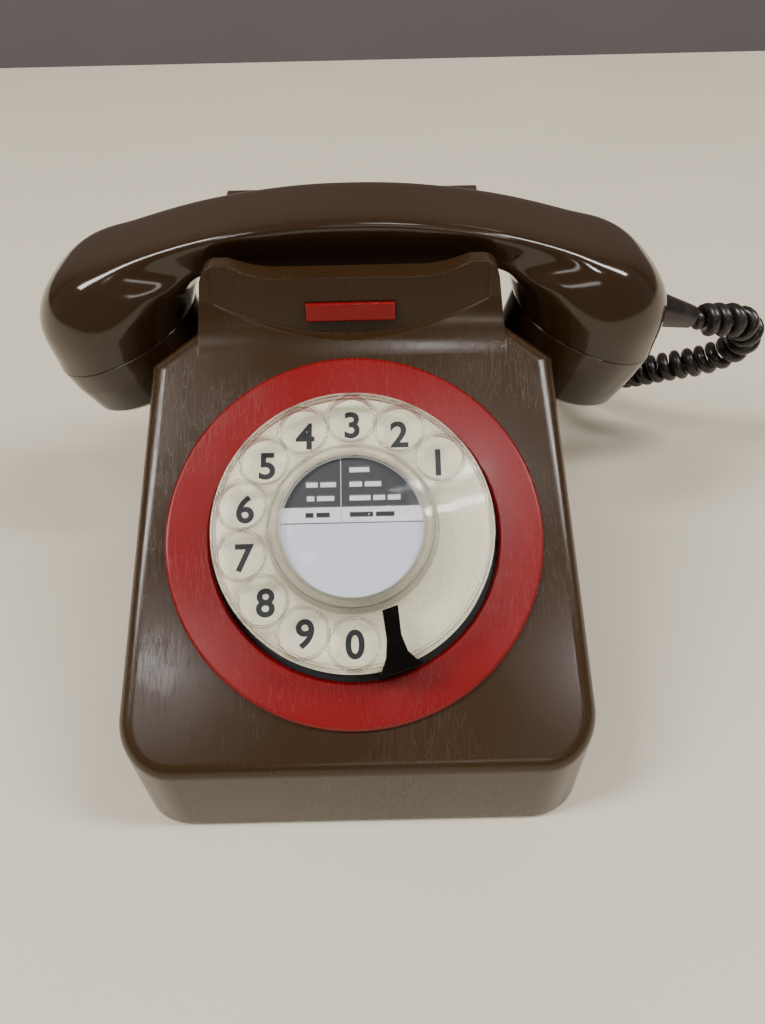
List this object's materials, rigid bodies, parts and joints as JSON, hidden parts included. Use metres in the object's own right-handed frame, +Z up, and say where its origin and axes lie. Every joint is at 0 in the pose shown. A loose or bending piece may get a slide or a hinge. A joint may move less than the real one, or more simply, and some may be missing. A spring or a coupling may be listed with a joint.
{
  "type": "rotary telephone",
  "caption": "Desk telephone with a wedge-shaped case, a sprung clear finger plate over a number ring, and an arched handset on a cradle joined by a curly cord.",
  "frame": {"origin": "on the desk, below the middle of the case and handset", "axes": "+Z up; +X along the handset towards its mouthpiece; -Y towards the caller"},
  "size_m": [0.2651, 0.2375, 0.1264],
  "materials": {
    "case_brown": "satin moulding, worn",
    "handset_brown": "polished moulding",
    "red_plastic": "satin moulding",
    "clear_plastic": "clear, polished",
    "cream_plastic": "printed",
    "card": "printed card",
    "chrome_steel": "bright",
    "steel": "zinc plated",
    "steel_sheet": "passivated sheet",
    "brass": "turned",
    "bronze": "spring leaf",
    "aluminium": "die cast",
    "black_rubber": "soft",
    "cord_rubber": "semi-gloss jacket",
    "board": "laminate",
    "winding": "taped winding",
    "white_nylon": "natural nylon",
    "black_plastic": "moulded"
  },
  "bodies": {
    "base": {"case": "case_brown", "base_plate": "steel_sheet", "rubber_feet": "black_rubber", "case_screws": "steel", "label_bar": "red_plastic", "dial_surround": "red_plastic", "dial_frame": "aluminium", "dial_screws": "steel", "number_ring": "cream_plastic", "dial_bush": "brass", "finger_stop": "chrome_steel", "rear_plate": "steel", "dial_posts": "steel", "spring_barrel": "brass", "mainspring": "steel", "governor_bracket": "brass", "governor_cup": "brass", "pulse_springs": "bronze", "bell_bracket": "steel_sheet", "gong_left": "brass", "gong_right": "brass", "gong_screws": "steel", "ringer_core": "steel", "ringer_coils": "winding", "circuit_board": "board", "board_standoffs": "white_nylon", "induction_coil": "winding", "capacitor": "aluminium", "terminal_block": "black_plastic", "terminal_screws": "brass", "handset_cord_grommet": "black_rubber", "line_cord_grommet": "black_rubber", "switch_bracket": "steel_sheet", "plunger_springs": "steel", "rocker_pin": "steel", "hook_springs": "bronze", "handset_cord": "cord_rubber"},
    "dial": {"finger_plate": "clear_plastic", "label_ring": "clear_plastic", "label_card": "card", "label_cover": "clear_plastic", "hub_screws": "chrome_steel", "dial_spindle": "steel", "main_gear": "brass"},
    "pinion_shaft": {"pinion": "steel", "impulse_cam": "white_nylon", "worm_wheel": "brass"},
    "governor": {"governor_worm": "steel", "governor_weights": "brass"},
    "plungers": {"plunger_left": "black_plastic", "plunger_right": "black_plastic", "plunger_bar": "black_plastic"},
    "rocker": {"switch_rocker": "black_plastic"},
    "clapper_arm": {"clapper": "steel"},
    "handset": {"handset_shell": "handset_brown", "ear_cap": "handset_brown", "mouth_cap": "handset_brown", "receiver_capsule": "aluminium", "transmitter_capsule": "aluminium", "handset_relief": "cord_rubber"}
  },
  "joints": [
    {"name": "dial_turn", "type": "hinge", "parent": "base", "child": "dial", "pos_m": [0, -0.0462, 0.06662], "axis": [0, 0.5299, -0.848], "range_deg": [0, 323], "stiffness_Nm_per_rad": 0.01, "springref_deg": -171.89},
    {"name": "pinion_turn", "type": "hinge", "parent": "base", "child": "pinion_shaft", "pos_m": [-0.00477, -0.02323, 0.08097], "axis": [0, 0.5299, -0.848], "range_deg": [-1300, 10]},
    {"name": "governor_spin", "type": "hinge", "parent": "base", "child": "governor", "pos_m": [0, -0.02255, 0.06194], "axis": [1, 0, 0], "range_deg": [-10, 6210]},
    {"name": "handset_lift", "type": "slide", "parent": "base", "child": "handset", "axis": [0, 0, 1], "range_m": [0, 0.06]},
    {"name": "plungers_rise", "type": "slide", "parent": "base", "child": "plungers", "axis": [0, 0, 1], "range_m": [0, 0.0051], "deforming": ["plunger_springs"]},
    {"name": "rocker_tip", "type": "hinge", "parent": "base", "child": "rocker", "pos_m": [0, 0.02, 0.0845], "axis": [1, 0, 0], "range_deg": [0, 14]},
    {"name": "clapper_swing", "type": "hinge", "parent": "base", "child": "clapper_arm", "pos_m": [0, 0.026, 0.038], "axis": [0, 0, 1], "range_deg": [-1.4, 1.4], "stiffness_Nm_per_rad": 0.002}
  ],
  "couplings": [
    {"joint": "pinion_turn", "follows": "dial_turn", "ratio": -4},
    {"joint": "governor_spin", "follows": "dial_turn", "ratio": 19.2},
    {"joint": "plungers_rise", "follows": "handset_lift", "ratio": 0.083333},
    {"joint": "rocker_tip", "follows": "handset_lift", "rad_per_m": 3.8}
  ]
}
